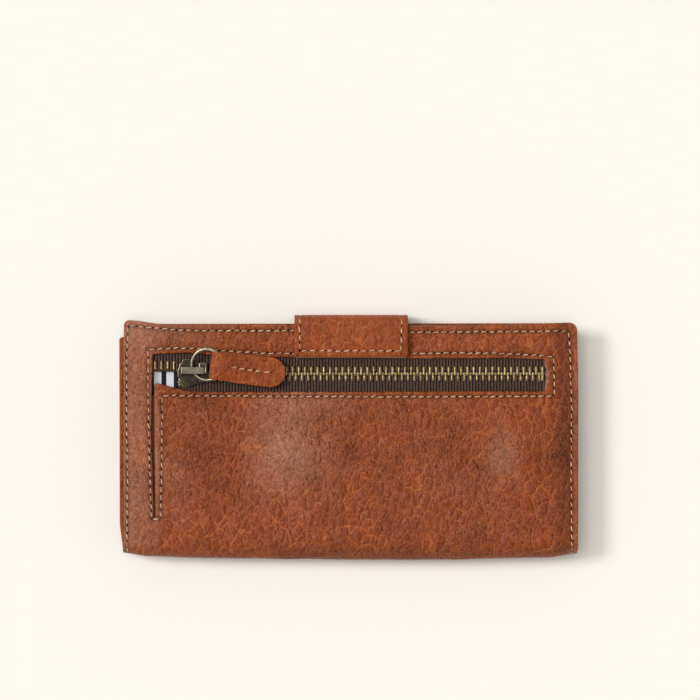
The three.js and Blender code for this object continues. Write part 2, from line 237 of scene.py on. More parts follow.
# Punched needle holes: dark because the cut fibre inside is unlit
def holeMaterial():
    made, tree, shader, where = newMaterial("needle-punched leather")
    fuzz = addNode(tree, "ShaderNodeTexNoise", {"Vector": where, "Scale": perMetre(0.667)})
    colour = addNode(tree, "ShaderNodeValToRGB", {"Fac": fuzz},
                     stops=[(0.3, "160703"), (0.7, "2a1008")])
    plug(tree, shader, {"Base Color": colour, "Roughness": 0.9, "Specular IOR Level": 0.1})
    return made


# Woven polyester zip tape: ribs run across it, dull. The real ribs are about half a
# millimetre apart, and are drawn 1.25 mm apart so that they show.
def tapeMaterial():
    made, tree, shader, where = newMaterial("woven brown zip tape")
    weave = addNode(tree, "ShaderNodeTexWave", {
        "Vector": where, "Scale": perMetre(1.25) * waveTurn, "Distortion": 1.2, "Detail": 2,
        "Detail Scale": 3}, wave_type="BANDS", bands_direction="X")
    fuzz = addNode(tree, "ShaderNodeTexNoise", {"Vector": where, "Scale": perMetre(0.769), "Detail": 3})
    mixed = addNode(tree, "ShaderNodeMixRGB", {"Fac": 0.45, "Color1": weave, "Color2": fuzz})
    colour = addNode(tree, "ShaderNodeValToRGB", {"Fac": mixed},
                     stops=[(0.25, "190e0a"), (0.5, "39251d"), (0.85, "6b5044")])
    bump = addNode(tree, "ShaderNodeBump", {"Height": mixed, "Strength": 0.7, "Distance": 0.15 * mm})
    plug(tree, shader, {"Base Color": colour, "Normal": bump, "Roughness": 0.85})
    return made


# Antiqued metal: plated, darkened, then rubbed back; its brighter copy on the slider's edges and bar is
# partly that worn finish and partly painted highlight.
# grain is the size of its stains in millimetres.
def metalMaterial(name, dark, mid, bright, roughness, grain):
    made, tree, shader, where = newMaterial(name)
    stain = addNode(tree, "ShaderNodeTexNoise", {
        "Vector": where, "Scale": perMetre(grain), "Detail": 5, "Roughness": 0.65})
    colour = addNode(tree, "ShaderNodeValToRGB", {"Fac": stain},
                     stops=[(0.32, dark), (0.52, mid), (0.7, bright)])
    dull = addNode(tree, "ShaderNodeMapRange", {
        "Value": stain, "To Min": roughness + 0.12, "To Max": roughness - 0.1})
    bump = addNode(tree, "ShaderNodeBump", {"Height": stain, "Strength": 0.25, "Distance": 0.05 * mm})
    plug(tree, shader, {"Base Color": colour, "Normal": bump, "Roughness": dull, "Metallic": 1.0})
    return made


# Plain-woven cotton: dull, with a slight nap. With a stripe it is yarn-dyed in black and
# white. Yarn spacing and stripe are in millimetres.
def clothMaterial(name, pale, dark, yarn, stripe=None):
    made, tree, shader, where = newMaterial(name)
    waves = [addNode(tree, "ShaderNodeTexWave", {
        "Vector": where, "Scale": waveTurn * perMetre(yarn), "Distortion": 0.6},
        bands_direction=d).outputs["Fac"] for d in "XY"]
    weave = addNode(tree, "ShaderNodeMath", waves, operation="MULTIPLY")
    if stripe:
        across = addNode(tree, "ShaderNodeSeparateXYZ", [where])
        shifted = addNode(tree, "ShaderNodeMath", [across, stripe["shift"] * mm], operation="ADD")
        turns = addNode(tree, "ShaderNodeMath", [shifted, stripe["pitch"] * mm],
                        operation="FLOORED_MODULO")
        band = addNode(tree, "ShaderNodeMapRange", {
            "Value": turns, "From Min": (stripe["white"] - 0.1) * mm,
            "From Max": (stripe["white"] + 0.1) * mm})
        colour = addNode(tree, "ShaderNodeMixRGB", {
            "Fac": band, "Color1": linear(pale), "Color2": linear(dark)})
    else:
        colour = addNode(tree, "ShaderNodeMixRGB", {
            "Fac": weave, "Color1": linear(dark), "Color2": linear(pale)})
    shade = addNode(tree, "ShaderNodeMapRange", {"Value": weave, "To Min": 0.85, "To Max": 1.05})
    final = addNode(tree, "ShaderNodeMixRGB", {"Fac": 1.0, "Color1": colour, "Color2": shade},
                    blend_type="MULTIPLY")
    bump = addNode(tree, "ShaderNodeBump", {"Height": weave, "Strength": 0.4, "Distance": 0.1 * mm})
    plug(tree, shader, {"Base Color": final, "Normal": bump, "Roughness": 0.85, "Sheen Weight": 0.15})
    return made


# Bonded leather board: pressed fibre, flat and matte
def boardMaterial():
    made, tree, shader, where = newMaterial("bonded leather board")
    fibre = addNode(tree, "ShaderNodeTexNoise", {"Vector": where, "Scale": perMetre(1.25), "Detail": 6})
    colour = addNode(tree, "ShaderNodeValToRGB", {"Fac": fibre},
                     stops=[(0.35, "6d553a"), (0.65, "94795a")])
    plug(tree, shader, {"Base Color": colour, "Roughness": 0.9})
    return made


cowhide = leatherMaterial("pull-up cowhide", cowhideValues)
# the small straps are cut from a tighter, smoother part of the hide
smoothCowhide = leatherMaterial("smooth pull-up cowhide", {
    **cowhideValues, "dark": "662910", "mid": "893d15", "warm": "98451a", "cells": 0.35,
    "folds": 0.7})
calf = leatherMaterial("calf lining leather", calfValues)
oliveCalf = leatherMaterial("olive calf lining leather", {
    **calfValues, "dark": "553c22", "mid": "6e5030", "warm": "7a5b38", "pale": "876843"})
thread = threadMaterial()
needleHole = holeMaterial()
zipTape = tapeMaterial()
toothBrass = metalMaterial("antiqued brass", "a88c5c", "dabe88", "f8e6b8", 0.5, 1.429)
sliderBronze = metalMaterial("antiqued bronze", "494136", "645a4b", "7d725e", 0.44, 2.857)
# a brighter copy of the bronze for the ring and the slider; on the slider's edges and bar it is partly
# worn finish and partly painted highlight
rubbedBronze = metalMaterial("antiqued bronze rubbed bright", "9c9075", "c2b698", "e4dabf", 0.4, 2.0)
studBrass = metalMaterial("brushed press-stud brass", "6d5530", "9c7f4c", "c9ae78", 0.4, 1.667)
stripedCotton = clothMaterial("striped pocket cotton", "e9ecee", "1b1b20", 0.45,
                              {"pitch": 5.15, "white": 3.05, "shift": 81.5})
twill = clothMaterial("plain woven lining", "a39a8c", "857a6b", 0.5)
fibreBoard = boardMaterial()
print("materials made")


def makePiece(name, points, faces, material, body=None, replaced=(), flat=False):
    # points are in millimetres
    mesh = bpy.data.meshes.new(name)
    mesh.from_pydata([tuple(float(c) * mm for c in p) for p in points], [], faces)
    mesh.validate()
    piece = bpy.data.objects.new(name, mesh)
    bpy.context.collection.objects.link(piece)
    for polygon in mesh.polygons:
        polygon.use_smooth = not flat
    mesh.materials.append(material)
    if body:
        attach(piece, body)
    if replaced:
        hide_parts(*replaced)
    return piece


# where hide, lining or thread that crosses a fold turns from one body to the next, in metres
bends = {
    "backEdge": (("spine", "back_half"), (0, -0.0500, 0.0140), (0, -0.0430, 0.0200)),
    "frontEdge": (("front_half", "spine"), (0, -0.0430, 0.0), (0, -0.0500, 0.0060)),
    "strap": (("front_half", "strap"), (0, 0.0470, 0.0015), (0, 0.0500, 0.0060)),
    "tab": (("strap", "tab"), (0, 0.0500, 0.0175), (0, 0.0460, 0.0230)),
}


def bendAt(piece, fold):
    bodies, start, end = bends[fold]
    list(bodies)
    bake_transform(piece)
    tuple(start)
    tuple(end)


def paint(piece, name, values):
    layer = piece.data.attributes.new(name, "FLOAT", "POINT")
    layer.data.foreach_set("value", np.asarray(values, np.float32))


def paintSeams(piece, lines, reach, x, y):
    # how close each point lies to a row of sewing, for painted shade in the leather's groove
    near = np.full(len(x), 1e9)
    for line in lines:
        near = np.minimum(near, lineDistance(x, y, line))
    paint(piece, "seam", np.exp(-(near / reach) ** 2))


# painted sheen (positive) and painted shade (negative) on the back cover: middle x, middle y,
# half width, half length, amount
paintedLightSpots = [(-26, -7, 15, 17, 0.95), (-22, 14, 20, 7, 0.4), (63, -8, 7, 13, 0.5),
             (-73, -19, 7, 13, 0.3), (-80, 43, 22, 6, 0.45), (42, -20, 12, 10, 0.12),
             (89.5, 0, 3.5, 60, -0.42), (-60, 13, 8, 7, -0.3), (-56, -12, 8, 11, -0.16),
             (94.5, 10, 2.0, 60, 0.5), (0, -49, 90, 3, -0.25), (-79.9, -7, 1.1, 32, 0.6)]


def paintSheenAndShade(piece, x, y):
    # painted sheen along the left border, then each spot's painted sheen (positive) and painted shade
    # (negative); the sheen is broken up by noise
    paintedSheenShade = 0.6 * smooth(-77, -86, x) * smooth(-52, -44, y)
    for cx, cy, wide, long, amount in paintedLightSpots:
        paintedSheenShade = paintedSheenShade + amount * np.exp(-((x - cx) / wide) ** 2 - ((y - cy) / long) ** 2)
    paintedSheenShade = paintedSheenShade + 0.16 * noiseAt(x, y, 9, 15.0) * (paintedSheenShade > 0)
    paint(piece, "paintedSheenShade", paintedSheenShade)


def loopFrom(corners, step=0.7):
    # corners: (x, y, radius), listed so that the leather is on the left
    out, count = [], len(corners)
    for i, (x, y, r) in enumerate(corners):
        here = Vector((x, y))
        before = Vector(corners[i - 1][:2])
        after = Vector(corners[(i + 1) % count][:2])
        a, b = (before - here).normalized(), (after - here).normalized()
        if r <= 0:
            out.append(here)
            continue
        half = math.acos(max(-1, min(1, a.dot(b)))) / 2
        reach = min(r / math.tan(half), (before - here).length * 0.49, (after - here).length * 0.49)
        r = reach * math.tan(half)
        centre = here + (a + b).normalized() * (r / math.sin(half))
        start, end = here + a * reach - centre, here + b * reach - centre
        turn = math.atan2(start.x * end.y - start.y * end.x, start.dot(end))
        steps = max(3, int(abs(turn) * r / min(step, r * 0.35)))
        for k in range(steps + 1):
            angle = turn * k / steps
            out.append(centre + Matrix.Rotation(angle, 2) @ start)
    dense = []
    for i, p in enumerate(out):
        q = out[(i + 1) % len(out)]
        pieces = max(1, int((q - p).length / step + 0.5))
        dense += [tuple(p.lerp(q, k / pieces)) for k in range(pieces)]
    return np.array(dense)


def roundedCorners(x0, x1, y0, y1, radius):
    return [(x0, y0, radius), (x1, y0, radius), (x1, y1, radius), (x0, y1, radius)]


def inside(points, loop):
    x, y = points[:, 0], points[:, 1]
    found = np.zeros(len(points), bool)
    for (x0, y0), (x1, y1) in zip(loop, np.roll(loop, -1, 0)):
        if y0 == y1:
            continue
        crosses = (y0 > y) != (y1 > y)
        found ^= crosses & (x < (x1 - x0) * (y - y0) / (y1 - y0) + x0)
    return found


def treeOf(points):
    tree = KDTree(len(points))
    for i, p in enumerate(points):
        tree.insert((p[0], p[1], 0), i)
    tree.balance()
    return tree


def distances(tree, points):
    return np.array([tree.find((p[0], p[1], 0))[2] for p in points])


def leatherSheet(outer, holes, step, thick, edge, top, place, joined=None):
    # a sheet with rounded edges: top(x, y) is its surface height, place(x, y, h) its spot in
    # space, and joined(x, y) tells which edge points run on into another piece
    loops = [outer, *holes]
    free = []
    for loop in loops:
        for p, q in zip(loop, np.roll(loop, -1, 0)):
            count = max(1, int(np.linalg.norm(q - p) / 0.25))
            for k in range(count):
                c = p + (q - p) * (k / count)
                if joined is None or not joined(c[0], c[1]):
                    free.append(c)
    tree = treeOf(free)
    rows = []
    last = 0.0
    for reach in (0.25, 0.6, 1.1) if edge > 0.3 else (0.15, 0.5):
        last = reach
        for loop in loops:
            along = np.roll(loop, -1, 0) - np.roll(loop, 1, 0)
            normal = np.stack([-along[:, 1], along[:, 0]], 1)
            normal /= np.linalg.norm(normal, axis=1)[:, None] + 1e-12
            moved = loop + normal * reach
            rows.append(moved[distances(tree, moved) > reach * 0.9])
    low, high = outer.min(0), outer.max(0)
    xs = np.arange(low[0] + step * 0.4, high[0], step)
    ys = np.arange(low[1] + step * 0.4, high[1], step)
    grid = np.stack(np.meshgrid(xs, ys), -1).reshape(-1, 2)
    grid = grid + np.random.default_rng(3).uniform(-0.12, 0.12, grid.shape) * step
    extra = np.concatenate([*rows, grid[distances(tree, grid) > last + 0.35 * step]])
    keep = inside(extra, outer)
    for hole in holes:
        keep &= ~inside(extra, hole)
    edgeTree = treeOf(np.concatenate(loops))
    extra = extra[keep]
    extra = extra[distances(edgeTree, extra) > 0.1]
    every = np.concatenate([*loops, extra])
    edges, start = [], 0
    for loop in loops:
        n = len(loop)
        edges += [(start + i, start + (i + 1) % n) for i in range(n)]
        start += n
    made = delaunay_2d_cdt([Vector(p) for p in every], edges, [], 0, 1e-5)
    flatPoints = np.array([tuple(p) for p in made[0]])
    faces = [tuple(f) for f in made[2] if len(f) == 3]
    middles = flatPoints[np.array(faces)].mean(1)
    keep = inside(middles, outer)
    for hole in holes:
        keep &= ~inside(middles, hole)
    faces = [f for f, k in zip(faces, keep) if k]
    away = distances(tree, flatPoints)
    drop = np.where(away < edge, edge - np.sqrt(np.maximum(edge ** 2 - (edge - away) ** 2, 0)), 0)
    x, y = flatPoints[:, 0], flatPoints[:, 1]
    surface = top(x, y)
    n = len(flatPoints)
    points = np.concatenate([place(x, y, surface - drop), place(x, y, surface - thick + drop)])
    used = {(a, b): True for f in faces for a, b in zip(f, f[1:] + f[:1])}
    allFaces = list(faces) + [tuple(n + i for i in reversed(f)) for f in faces]
    for a, b in used:
        if (b, a) not in used:
            mid = (flatPoints[a] + flatPoints[b]) / 2
            if joined is None or not joined(mid[0], mid[1]):
                allFaces.append((b, a, n + a, n + b))
    return points, allFaces, np.concatenate([x, x]), np.concatenate([y, y])


coverValues = {
    "gridStep": 0.85, "thickness": 1.5, "edge": 0.65, "spineY": -50.0, "spineRadius": 5.0,
    "height": 20.0, "puff": 0.85, "wrinkle": 0.75, "grooveDepth": 0.32, "grooveWidth": 0.75,
}
spineFlat = coverValues["spineY"] + coverValues["spineRadius"]
spineArc = coverValues["spineRadius"] * math.pi / 2
spineEnd = spineFlat - spineArc - (coverValues["height"] / 2 - coverValues["spineRadius"])


def backPlace(x, v, h):
    # v runs down the back cover, round the folded edge and to the middle of the spine
    r = coverValues["spineRadius"]
    angle = np.clip((spineFlat - v) / r, 0, math.pi / 2)
    below = np.maximum(spineFlat - spineArc - v, 0)
    flatY = np.maximum(v, spineFlat)
    # the folded edge swells a little along its middle
    swell = np.interp(x, [-95, -85, -60, 0, 45, 65, 85, 95],
                      [-0.8, 0.6, 1.3, 1.9, 1.9, 1.3, 1.0, -0.4])
    y = flatY - (r + h) * np.sin(angle) - swell * np.sin(angle) ** 2
    z = coverValues["height"] - r + (r + h) * np.cos(angle) - below
    return np.stack([x, y, z], -1)


def frontPlace(x, v, h):
    found = backPlace(x, v, h)
    found[..., 2] = coverValues["height"] - found[..., 2]
    return found


def topEdge(x):
    # the upper edge is a little longer at the corners than at the strap
    return np.interp(x, [-94, -88, -83, -79, -60, -24, 24, 50, 60, 75, 86, 95],
                     [48.0, 47.6, 46.8, 46.3, 46.15, 45.8, 45.4, 45.6, 46.0, 46.3, 46.7, 46.8])


stitchLines = {
    "borderLeft": [(-92.0, 45.3), (-92.6, 40), (-92.9, 10), (-92.4, -20), (-92.6, -48.0), (-92.6, -54)],
    "borderTop": [(-91.8, 45.6), (-88, 45.2), (-82.7, 44.6), (-73.8, 43.9), (-62, 43.4), (-24, 43.4),
                  (0, 43.0), (40, 42.8), (60, 43.0), (90.8, 43.3)],
    "borderRight": [(91.2, 43.2), (92.0, 30), (92.4, 10), (92.2, -20), (92.6, -48.0), (92.6, -54)],
    "zipTop": [(-83.9, 35.6), (-75, 36.1), (-65, 36.1), (-52.4, 35.0), (-38, 34.2), (-24, 33.9),
               (30, 34.0), (44, 34.2), (65, 33.9), (79.8, 33.2), (84.8, 32.4)],
    "zipLeft": [(-83.9, 35.5), (-83.7, 10), (-83.3, -8), (-82.4, -34.7)],
    "slitFoot": [(-82.4, -34.9), (-78.7, -34.9)],
    "slitRight": [(-78.6, -34.6), (-78.1, -10), (-77.9, 16.2)],
    "zipFoot": [(-78, 16.4), (-40, 16.2), (0, 16.0), (29, 15.9), (84.6, 16.2)],
    "zipRight": [(85.1, 16.3), (85.2, 24), (84.9, 32.4)],
}


def lineDistance(x, y, line):
    best = np.full(np.shape(x), 1e9)
    for (x0, y0), (x1, y1) in zip(line, line[1:]):
        dx, dy = x1 - x0, y1 - y0
        t = np.clip(((x - x0) * dx + (y - y0) * dy) / (dx * dx + dy * dy), 0, 1)
        best = np.minimum(best, np.hypot(x - x0 - t * dx, y - y0 - t * dy))
    return best


# swells and hollows of the soft pocket: middle x, middle y, half width, half length, rise
pocketBulges = [(-24, -7, 10, 15, 2.2), (-43, -15, 7, 10, -1.3), (-58, 4, 9, 10, 1.1),
                (72, -8, 8, 15, 1.9), (55, -11, 9, 10, -1.3), (-60, -36, 12, 7, 1.0),
                (24, -10, 15, 18, 0.9)]


def backTop(x, y):
    x, y = np.asarray(x, float), np.asarray(y, float)
    v = coverValues
    # the pocket's flap puffs up between its seams, the border lies flatter
    panel = smooth(-78, -66, x) * smooth(85, 72, x) * smooth(16.5, 8, y) * smooth(-58, -40, y)
    h = v["puff"] * panel * (0.55 + 0.45 * np.cos((x - 4) / 60))
    for cx, cy, wide, long, rise in pocketBulges:
        h = h + rise * panel * np.exp(-((x - cx) / wide) ** 2 - ((y - cy) / long) ** 2)
    slanted = x * 0.8 + y * 0.6
    cross = -x * 0.6 + y * 0.8
    folds = noiseAt(slanted, cross * 0.45, 9, 1.3) + 0.5 * noiseAt(slanted * 0.5, cross, 4.2, 4.1)
    puckers = 0.9 * np.exp(-((x + 26) / 18) ** 2 - ((y + 6) / 18) ** 2)
    puckers += 0.9 * np.exp(-((x - 64) / 16) ** 2 - ((y + 8) / 20) ** 2)
    h = h + v["wrinkle"] * folds * (0.3 + puckers) * panel
    pinch = noiseAt(slanted * 0.9, cross * 0.35, 2.6, 9.3)
    h = h + 0.3 * pinch * (0.25 + puckers) * panel
    # the borders fall away towards the edges
    h = h - 1.3 * smooth(83, 96, x) - 1.0 * smooth(-84, -96, x) - 0.5 * smooth(43, 48, y)
    h = h + 0.12 * noiseAt(x, y, 14, 8.0) + 0.05 * noiseAt(x, y, 3.2, 2.0)
    # soft vertical hollow beside the middle, and creases towards the folded edge
    h = h - 0.35 * panel * np.exp(-((x - 2) / 7) ** 2) * smooth(-50, 0, y)
    h = h + 0.22 * smooth(-18, -40, y) * noiseAt(x * 0.55 - y, y * 1.6, 6, 5.5)
    for line in stitchLines.values():
        near = lineDistance(x, y, line)
        h = h - v["grooveDepth"] * np.exp(-(near / v["grooveWidth"]) ** 2)
    # the corner of the flap stands a little proud of the slit
    h = h + 0.5 * np.exp(-((x + 80) / 6) ** 2 - ((y - 16) / 8) ** 2) * (x > -82)
    return h * smooth(spineEnd, spineEnd + 9, y)


backOutline = [(-93.9, spineEnd, 0), (95.2, spineEnd, 0), (95.3, 20, 6), (94.7, 46.9, 3.2)]
backOutline += [(x, float(topEdge(x)), 0) for x in np.arange(88, -88.1, -4)]
backOutline += [(-94.0, 48.0, 2.2), (-94.0, 10, 8)]
zipWindow = [(-81.35, -34.3, 0.2), (-82.5, 0, 0.0), (-82.0, 33.6, 0.7), (-68, 34.2, 8), (-50, 32.7, 8),
             (-24, 32.4, 9), (29, 31.8, 20), (65, 31.9, 9), (81.2, 31.4, 0.6), (84.3, 25, 11),
             (81.4, 18.2, 0.6), (40, 18.2, 20), (0, 18.0, 20), (-60, 18.0, 9), (-69, 18.6, 6),
             (-81.3, 22.0, 1.4), (-81.3, 5, 12), (-80.75, -33.9, 0.15)]
studPlace = (0.7, 40.0)


def circleLoop(x, y, r, count=20):
    turn = np.linspace(0, -2 * math.pi, count, endpoint=False)
    return np.stack([x + r * np.cos(turn), y + r * np.sin(turn)], 1)


def atSpineMiddle(x, y):
    return y < spineEnd + 0.01


points, faces, flatX, flatY = leatherSheet(
    loopFrom(backOutline), [loopFrom(zipWindow), circleLoop(*studPlace, 1.5)],
    coverValues["gridStep"], coverValues["thickness"], coverValues["edge"],
    backTop, backPlace, atSpineMiddle)
backCover = makePiece("back_cover_hide", points, faces, cowhide,
                      replaced=["back_cover_leather", "slit_edge_binding"])
paintSeams(backCover, stitchLines.values(), coverValues["grooveWidth"], flatX, flatY)
paintSheenAndShade(backCover, flatX, flatY)
bendAt(backCover, "backEdge")


def frontTop(x, y):
    x, y = np.asarray(x, float), np.asarray(y, float)
    h = 0.10 * noiseAt(x, y, 14, 28.0) + 0.05 * noiseAt(x, y, 3.4, 22.0)
    for line in (frontLines["left"], frontLines["top"], frontLines["right"]):
        h = h - 0.3 * np.exp(-(lineDistance(x, y, line) / coverValues["grooveWidth"]) ** 2)
    return (np.minimum(h, 0.0) - 0.02) * smooth(spineEnd, spineEnd + 9, y)


frontLines = {
    "left": [(-93.2, 40.2), (-93.2, -54)],
    "top": [(-91.0, 41.0), (-78, 43.8), (93.0, 44.3)],
    "right": [(93.2, 43.8), (93.2, -54)],
}
frontOutline = [(-94.6, spineEnd, 0), (95.2, spineEnd, 0), (95.2, 46.7, 4), (-78, 46.4, 20),
                (-93.8, 41.3, 2), (-96.7, 40.4, 1.2), (-96.5, -38, 20), (-95.4, -46, 6)]
points, faces, flatX, flatY = leatherSheet(
    loopFrom(frontOutline), [], 1.3, coverValues["thickness"], coverValues["edge"],
    frontTop, frontPlace, atSpineMiddle)
faces = [tuple(reversed(f)) for f in faces]
frontCover = makePiece("front_cover_hide", points, faces, cowhide,
                       replaced=["front_cover_leather", "spine_leather"])
paintSeams(frontCover, frontLines.values(), coverValues["grooveWidth"], flatX, flatY)
bendAt(frontCover, "frontEdge")
print("covers made")


stitchValues = {"pitch": 3.3, "length": 2.35, "width": 0.5, "height": 0.4, "sink": 0.04,
                "holeRadius": 0.46, "slant": 0.16, "wander": 0.14}


def capsule(rings=5, around=7):
    points, faces = [], []
    for i in range(rings + 1):
        a = math.pi * i / rings
        for j in range(around):
            b = 2 * math.pi * j / around
            full = math.sin(a) ** 0.7
            points.append((-math.cos(a), full * math.cos(b), full * math.sin(b)))
    for i in range(rings):
        for j in range(around):
            k = (j + 1) % around
            here, ahead = i * around, (i + 1) * around
            faces.append((here + j, here + k, ahead + k, ahead + j))
    return np.array(points), faces


capsulePoints, capsuleFaces = capsule()


def along(line, spacing):
    line = [np.array(p, float) for p in line]
    lengths = [np.linalg.norm(b - a) for a, b in zip(line, line[1:])]
    total = sum(lengths)
    count = max(1, round(total / spacing))
    for i in range(count + 1):
        d = total * i / count
        for (a, b), n in zip(zip(line, line[1:]), lengths):
            if d <= n + 1e-9:
                yield a + (b - a) * d / n, (b - a) / n
                break
            d -= n


def sewRun(line, surface, s, rng):
    # returns the stitches' points and faces, then the needle holes'
    thePoints, theFaces, holePoints, holeFaces = [], [], [], []
    spots = list(along(line, s["pitch"]))

    def frameAt(p, d):
        here = surface(p[0], p[1])
        ahead = surface(p[0] + d[0] * 0.3, p[1] + d[1] * 0.3) - here
        side = surface(p[0] - d[1] * 0.3, p[1] + d[0] * 0.3) - here
        ahead /= np.linalg.norm(ahead)
        up = np.cross(ahead, side)
        up /= np.linalg.norm(up)
        return here, ahead, np.cross(up, ahead), up

    def put(template, faces, scale, frameNow, lift, slant, points, out):
        here, ahead, side, up = frameNow
        c, q = math.cos(slant), math.sin(slant)
        local = template * scale
        turned = np.stack([local[:, 0] * c - local[:, 1] * q, local[:, 0] * q + local[:, 1] * c,
                           local[:, 2]], 1)
        start = sum(len(block) for block in points)
        points.append(here + up * lift + turned @ np.array([ahead, side, up]))
        out += [tuple(start + i for i in f) for f in faces]

    for (p, d), (q, _) in zip(spots, spots[1:]):
        middle = (p + q) / 2 + rng.normal(0, s["wander"] * 0.5, 2)
        scale = np.array([s["length"] / 2 * rng.uniform(0.92, 1.06), s["width"] / 2, s["height"] / 2])
        put(capsulePoints, capsuleFaces, scale, frameAt(middle, d), s["sink"],
            s["slant"] + rng.normal(0, 0.06), thePoints, theFaces)
    for p, d in spots:
        r = s["holeRadius"] * rng.uniform(0.8, 1.15)
        put(capsulePoints, capsuleFaces, np.array([r * 1.45, r * 0.85, 0.12]), frameAt(p, d), 0.0, 0,
            holePoints, holeFaces)
    return thePoints, theFaces, holePoints, holeFaces


def sew(name, lines, surface, body, fold=None, values=None):
    s = {**stitchValues, **(values or {})}
    rng = np.random.default_rng(len(name))
    blocks = [[], [], [], []]
    for line in lines:
        a, b, c, d = sewRun(line, surface, s, rng)
        at, hat = sum(map(len, blocks[0])), sum(map(len, blocks[2]))
        blocks[0] += a
        blocks[1] += [tuple(at + i for i in f) for f in b]
        blocks[2] += c
        blocks[3] += [tuple(hat + i for i in f) for f in d]
    for suffix, points, faces, material in (
            ("thread", blocks[0], blocks[1], thread), ("holes", blocks[2], blocks[3], needleHole)):
        piece = makePiece(f"{name}_{suffix}", np.concatenate(points), faces, material, body)
        if fold:
            bendAt(piece, fold)


def backSurface(x, y):
    return backPlace(np.float64(x), np.float64(y), backTop(x, y))


def frontSurface(x, y):
    return frontPlace(np.float64(x), np.float64(y), frontTop(x, y))


sew("back_border_seam", [stitchLines[k] for k in ("borderLeft", "borderTop", "borderRight")],
    backSurface, None, "backEdge")
sew("zip_frame_seam", [stitchLines[k] for k in (
    "zipTop", "zipLeft", "slitFoot", "slitRight", "zipFoot", "zipRight")],
    backSurface, "back_half")
sew("front_border_seam", list(frontLines.values()), frontSurface, None,
    "frontEdge", {"height": 0.25, "sink": -0.08})
print("seams sewn")


zipValues = {"chainY": 25.5, "pitch": 2.6, "barWidth": 0.95, "ribPitch": 0.85, "start": -81.5,
             "end": 79.6, "tapeTop": 18.0, "toothFoot": 17.65, "dropY": 9.5, "dropZ": 1.9,
             "dropX": 2.5, "parting": 2.4}


def lowerDrop(x):
    # left of the slider the lower tape turns down into the pocket's corner
    return smooth(-66.5, -79, x)


def tapePiece(name, side, node):
    z = zipValues
    points, faces = [], []
    xs = np.arange(-86 if side > 0 else -80.5, 87.6, z["ribPitch"] / 4)
    across = np.array([0.9, 1.5, 2.1, 2.6, 3.0, 4.0, 6.0, 8.5, 10.4])
    lift = np.array([0.25, 0.55, 0.55, 0.2, 0.0, 0.0, 0.0, -0.05, -0.1])
    for x in xs:
        rib = 0.13 * math.sin(2 * math.pi * x / z["ribPitch"])
        d = float(lowerDrop(x)) if side < 0 else 0.0
        for sheetSide in (0, 1):
            for a, l in zip(across, lift):
                y = z["chainY"] + side * a - d * z["dropY"]
                h = z["tapeTop"] + l + (0 if sheetSide else rib) - 0.5 * sheetSide - d * z["dropZ"]
                points.append((x + d * z["dropX"], y, h))
    n = len(across)
    for i in range(len(xs) - 1):
        for j in range(n - 1):
            a, b = i * 2 * n + j, (i + 1) * 2 * n + j
            face = (a, b, b + 1, a + 1) if side > 0 else (a, a + 1, b + 1, b)
            faces.append(face)
            faces.append(tuple(k + n for k in reversed(face)))
        for j in (0, n - 1):
            a, b = i * 2 * n + j, (i + 1) * 2 * n + j
            face = (a, b, b + n, a + n)
            faces.append(face if (j == 0) != (side > 0) else tuple(reversed(face)))
    makePiece(name, points, faces, zipTape, "back_half", [node])


tapePiece("upper_zip_tape", 1, "zip_tape_upper")
tapePiece("lower_zip_tape", -1, "zip_tape_lower")


def join(parts):
    points, faces = [], []
    for p, f in parts:
        start = len(points)
        points += [tuple(q) for q in p]
        faces += [tuple(start + i for i in face) for face in f]
    return points, faces


def toothMesh(side):
    # one cast tooth: a slim bar that grips the tape, with a round head at the closing line
    made = bmesh.new()
    w = zipValues["barWidth"] / 2
    profile = [(-0.7, 0.5, 1.25), (-0.3, 0.62, 1.55), (0.3, 0.55, 1.5), (0.7, 0.46, 1.35),
               (1.2, 0.5, 1.4), (2.7, 0.56, 1.5), (3.15, 0.42, 1.1)]
    rings = []
    for a, half, high in profile:
        half = half * w / 0.5
        ring = []
        for x, h in ((-half, 0.0), (-half, high * 0.7), (-half * 0.5, high), (half * 0.5, high),
                     (half, high * 0.7), (half, 0.0)):
            ring.append(made.verts.new((x, side * a, h)))
        rings.append(ring)
    for r, s in zip(rings, rings[1:]):
        for i in range(6):
            j = (i + 1) % 6
            made.faces.new((r[i], r[j], s[j], s[i]))
    made.faces.new(rings[0])
    made.faces.new(list(reversed(rings[-1])))
    bmesh.ops.recalc_face_normals(made, faces=made.faces)
    made.verts.index_update()
    points = np.array([tuple(v.co) for v in made.verts])
    faces = [tuple(v.index for v in f.verts) for f in made.faces]
    made.free()
    return points, faces


def teethPiece(name, side, nodes):
    z = zipValues
    base, baseFaces = toothMesh(side)
    points, faces = [], []
    x = z["start"] + 0.6 + (0 if side > 0 else z["pitch"] / 2)
    while x < z["end"]:
        tooth = base.copy()
        if side < 0:
            d = float(lowerDrop(x))
            ahead = float(lowerDrop(x + 0.1))
            turn = math.atan2(-(ahead - d) * z["dropY"], 0.1)
            c, s = math.cos(turn), math.sin(turn)
            tooth = np.stack([tooth[:, 0] * c - tooth[:, 1] * s, tooth[:, 0] * s + tooth[:, 1] * c,
                              tooth[:, 2]], 1)
            offset = (x + d * z["dropX"], z["chainY"] - d * z["dropY"],
                      z["toothFoot"] - d * z["dropZ"])
        else:
            # above the slider's mouth the upper row stands a little clear of the middle
            apart = z["parting"] * float(smooth(-67, -74, x))
            offset = (x, z["chainY"] + apart, z["toothFoot"])
        start = len(points) * len(base)
        points.append(tooth + np.array(offset))
        faces += [tuple(start + i for i in f) for f in baseFaces]
        x += z["pitch"]
    makePiece(name, np.concatenate(points), faces, toothBrass, "back_half", nodes)


teethPiece("upper_zip_teeth", 1, ["zip_teeth_upper", "zip_end_stop_upper"])
teethPiece("lower_zip_teeth", -1, ["zip_teeth_lower", "zip_end_stop_lower"])


